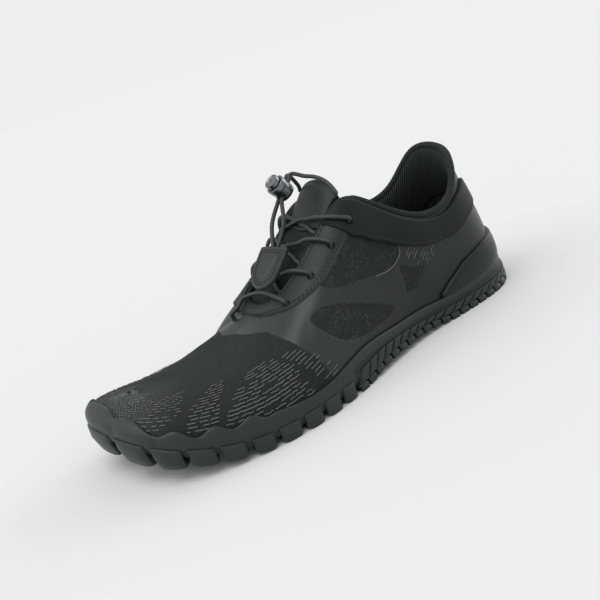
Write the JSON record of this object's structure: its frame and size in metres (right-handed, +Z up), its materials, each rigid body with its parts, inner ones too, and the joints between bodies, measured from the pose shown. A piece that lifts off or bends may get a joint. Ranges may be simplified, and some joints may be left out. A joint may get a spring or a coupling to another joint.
{
  "type": "barefoot shoe",
  "caption": "Left barefoot trail shoe with a hollow knit upper, cupped lugged rubber sole, tongue, insole and elastic laces held by a cord lock.",
  "frame": {"origin": "on the floor, in the middle of the flat lug under the heel", "axes": "+X towards the toe, +Y towards the outer side of the foot, +Z up"},
  "size_m": [0.2852, 0.112, 0.1164],
  "materials": {
    "knit": "black knit",
    "rubber": "charcoal rubber, satin",
    "overlay": "smooth synthetic leather",
    "tongue": "padded textile",
    "insole": "black brushed textile",
    "cord": "round elastic cord, slight sheen",
    "metal": "gunmetal, polished"
  },
  "bodies": {
    "shoe": {"outsole": "rubber", "upper": "knit", "insole": "insole", "tongue": "tongue", "eyestay": "overlay", "collar_band": "overlay", "heel_patch": "overlay", "heel_counter": "rubber", "lace_bar": "cord", "lace_cross_1": "cord", "lace_cross_2": "cord", "lace_cross_3": "cord", "lace_end_lateral": "cord", "lace_end_medial": "cord", "cord_lock": "metal", "lace_tab": "overlay"},
    "button": {"cord_lock_button": "metal"}
  },
  "joints": [
    {"name": "push_button", "type": "slide", "parent": "shoe", "child": "button", "axis": [-0.5934, 0, -0.8049], "range_m": [0, 0.0022], "stiffness_N_per_m": 600, "springref_m": -0.003}
  ]
}
